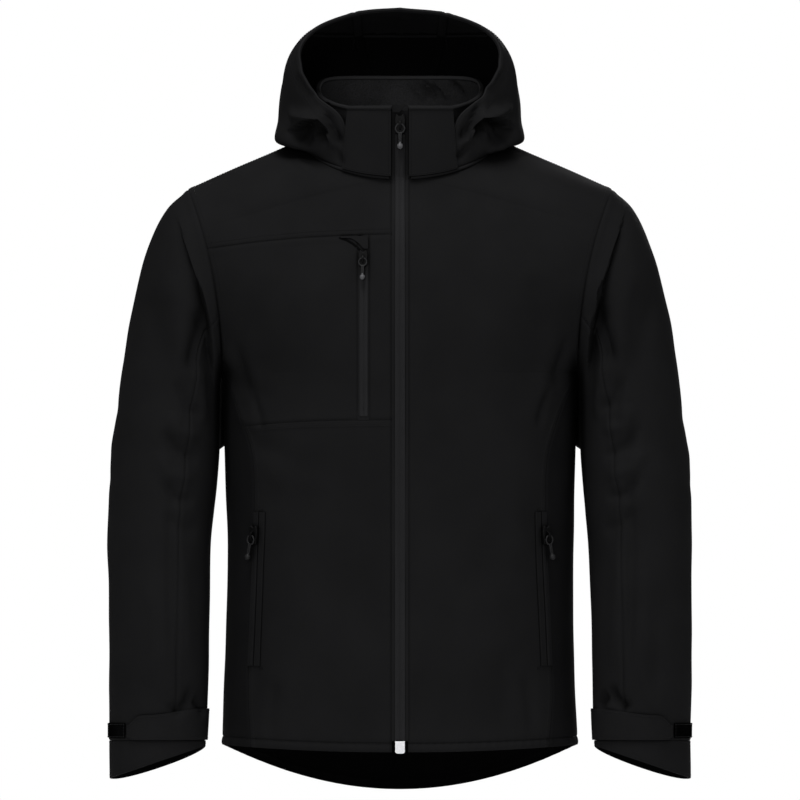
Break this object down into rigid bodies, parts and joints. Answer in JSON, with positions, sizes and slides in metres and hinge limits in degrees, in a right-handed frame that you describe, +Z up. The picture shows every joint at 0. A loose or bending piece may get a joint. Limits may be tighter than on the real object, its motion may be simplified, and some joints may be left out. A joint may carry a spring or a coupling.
{
  "type": "softshell jacket",
  "caption": "Black hooded softshell jacket, zipped up and filled out with no wearer, with a stand collar, chest and hand pockets, two-piece sleeves and cuff tabs.",
  "frame": {"origin": "middle of the wearer's neck, level with the side of the neck, where the shoulders carry it", "axes": "+Z up along the body, +X towards the wearer's left, -Y out of the zipped front"},
  "size_m": [0.6436, 0.264, 0.8601],
  "materials": {
    "shell": "matt woven face, durable water repellent",
    "gore": "matt stretch cloth, a touch darker",
    "fleece": "short brushed pile",
    "zip_tape": "film-coated woven tape",
    "loop_nap": "loop nap",
    "moulded": "satin moulded plastic",
    "bright_metal": "bright plated metal"
  },
  "bodies": {
    "jacket": {"front_left_panel": "shell", "front_right_yoke": "shell", "chest_pocket_panel": "shell", "chest_strip_panel": "shell", "front_right_lower": "shell", "back_panel": "shell", "upper_sleeve_left": "shell", "upper_sleeve_right": "shell", "under_sleeve_left": "shell", "under_sleeve_right": "shell", "cuff_end_left": "shell", "cuff_end_right": "shell", "cuff_tab_left": "shell", "cuff_tab_right": "shell", "collar_flap_left": "shell", "collar_flap_right": "shell", "collar_binding": "shell", "hood_side_left": "shell", "hood_side_right": "shell", "hood_centre": "shell", "chin_garage": "shell", "chest_zip_garage": "shell", "hand_pocket_welt_left": "shell", "hand_pocket_welt_right": "shell", "side_panel_left": "gore", "side_panel_right": "gore", "collar": "fleece", "hood_facing": "fleece", "front_zip_tape_left": "zip_tape", "front_zip_tape_right": "zip_tape", "chest_zip_tape": "zip_tape", "hand_pocket_tape_left": "zip_tape", "hand_pocket_tape_right": "zip_tape", "loop_patch_left": "loop_nap", "loop_patch_right": "loop_nap", "front_zip_slider": "moulded", "chest_zip_slider": "moulded", "hand_pocket_left_slider": "moulded", "hand_pocket_right_slider": "moulded", "front_zip_box": "bright_metal"},
    "front_pull_tab": {"front_zip_pull": "moulded"},
    "chest_pull_tab": {"chest_zip_pull": "moulded"},
    "left_pocket_pull_tab": {"hand_pocket_left_pull": "moulded"},
    "right_pocket_pull_tab": {"hand_pocket_right_pull": "moulded"}
  },
  "joints": [
    {"name": "front_pull_tab_hinge", "type": "hinge", "parent": "jacket", "child": "front_pull_tab", "pos_m": [0, -0.09717, 0.02534], "axis": [-1, 0, 0], "range_deg": [0, 160]},
    {"name": "chest_pull_tab_hinge", "type": "hinge", "parent": "jacket", "child": "chest_pull_tab", "pos_m": [-0.0408, -0.12227, -0.12174], "axis": [-0.9943, 0.107, 0], "range_deg": [0, 160]},
    {"name": "left_pocket_pull_tab_hinge", "type": "hinge", "parent": "jacket", "child": "left_pocket_pull_tab", "pos_m": [0.16322, -0.07713, -0.42603], "axis": [-0.7169, -0.6962, -0.0366], "range_deg": [0, 160]},
    {"name": "right_pocket_pull_tab_hinge", "type": "hinge", "parent": "jacket", "child": "right_pocket_pull_tab", "pos_m": [-0.16322, -0.07713, -0.42603], "axis": [-0.7169, 0.6962, 0.0366], "range_deg": [0, 160]}
  ]
}
